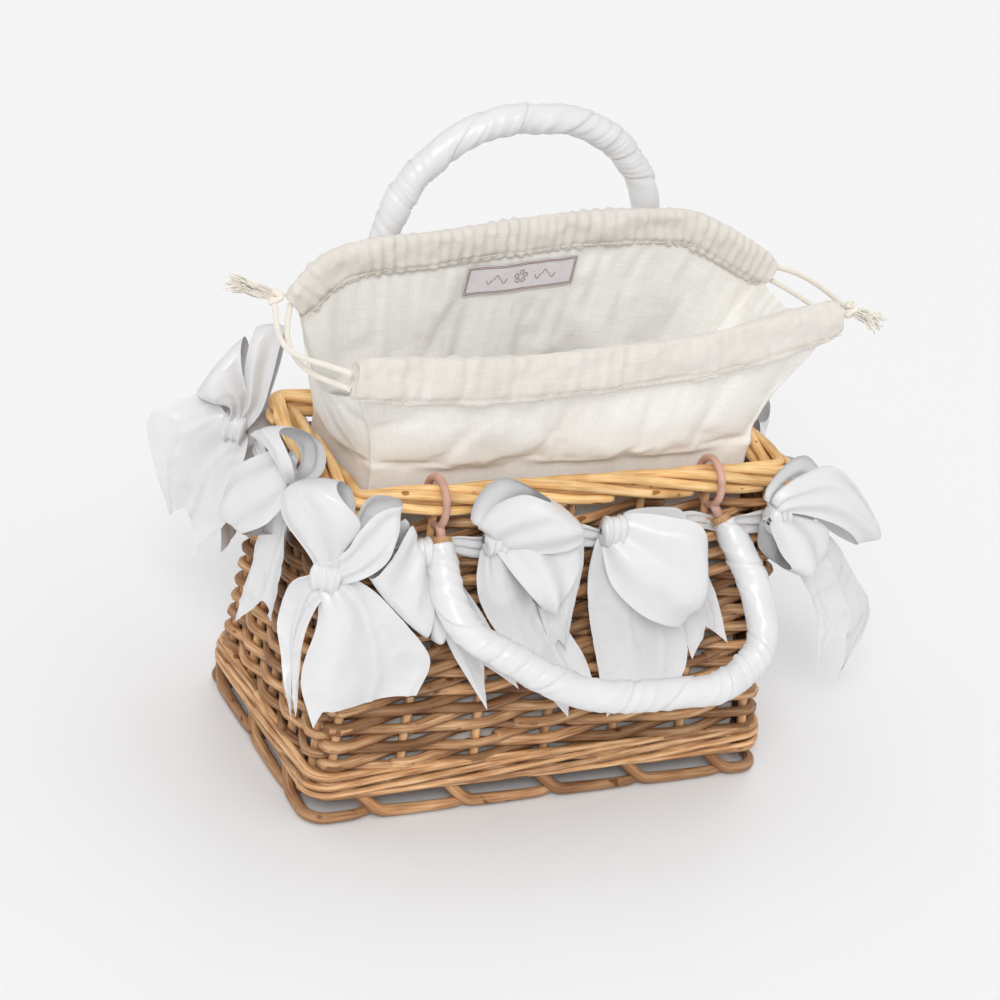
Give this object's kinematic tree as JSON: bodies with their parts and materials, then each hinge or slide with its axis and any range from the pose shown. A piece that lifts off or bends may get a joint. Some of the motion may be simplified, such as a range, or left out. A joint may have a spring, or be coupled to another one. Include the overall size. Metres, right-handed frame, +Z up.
{
  "type": "flower girl basket",
  "caption": "Rectangular willow flower basket with a drawstring cotton liner, ribbon bows under the border and two satin-wrapped handles that swing on leather loops",
  "frame": {"origin": "centre of the object's bounding box, on the surface that the foot border stands on; the basket's own middle lies 12.5 mm behind it, because the front handle hangs forward", "axes": "+X along the basket's length to the right, -Y the front with the hanging handle, +Z up"},
  "size_m": [0.3689, 0.2367, 0.3424],
  "materials": {
    "willow_border": "peeled, satin",
    "willow_stake": "peeled, satin",
    "willow_rod": "peeled, satin",
    "liner_cotton": "plain woven cotton",
    "label_tape": "woven tape",
    "cotton_cord": "twisted cotton",
    "satin_ribbon": "satin",
    "satin_wrap": "satin",
    "cane_core": "raw cane",
    "leather_loop": "smooth"
  },
  "bodies": {
    "basket": {"back_casing": "liner_cotton", "back_foot": "willow_rod", "back_rim": "willow_border", "back_stakes": "willow_stake", "back_wale": "willow_rod", "back_weave": "willow_rod", "base_sticks": "willow_stake", "base_weave": "willow_rod", "bow_back_left": "satin_ribbon", "bow_back_left_corner": "satin_ribbon", "bow_back_middle": "satin_ribbon", "bow_back_right": "satin_ribbon", "bow_front_left": "satin_ribbon", "bow_front_left_corner": "satin_ribbon", "bow_front_middle": "satin_ribbon", "bow_front_right": "satin_ribbon", "bow_front_right_corner": "satin_ribbon", "bow_left_side": "satin_ribbon", "bow_right_back": "satin_ribbon", "bow_right_front": "satin_ribbon", "front_casing": "liner_cotton", "front_foot": "willow_rod", "front_rim": "willow_border", "front_stakes": "willow_stake", "front_wale": "willow_rod", "front_weave": "willow_rod", "left_foot": "willow_rod", "left_pass_cord": "cotton_cord", "left_rim": "willow_border", "left_stakes": "willow_stake", "left_tassel": "cotton_cord", "left_tie_cord": "cotton_cord", "left_wale": "willow_rod", "left_weave": "willow_rod", "liner_back": "liner_cotton", "liner_floor": "liner_cotton", "liner_front": "liner_cotton", "liner_left": "liner_cotton", "liner_right": "liner_cotton", "ribbon_band": "satin_ribbon", "right_foot": "willow_rod", "right_pass_cord": "cotton_cord", "right_rim": "willow_border", "right_stakes": "willow_stake", "right_tassel": "cotton_cord", "right_tie_cord": "cotton_cord", "right_wale": "willow_rod", "right_weave": "willow_rod", "sewn_label": "label_tape"},
    "front_handle": {"front_handle_core": "cane_core", "front_handle_wrap": "satin_wrap", "front_left_loop": "leather_loop", "front_right_loop": "leather_loop"},
    "back_handle": {"back_handle_core": "cane_core", "back_handle_wrap": "satin_wrap", "back_left_loop": "leather_loop", "back_right_loop": "leather_loop"}
  },
  "joints": [
    {"name": "front_handle_swing", "type": "hinge", "parent": "basket", "child": "front_handle", "pos_m": [0, -0.043, 0.1735], "axis": [-1, 0, 0], "range_deg": [0, 120]},
    {"name": "back_handle_swing", "type": "hinge", "parent": "basket", "child": "back_handle", "pos_m": [0, 0.068, 0.1735], "axis": [-1, 0, 0], "range_deg": [0, 144]}
  ]
}
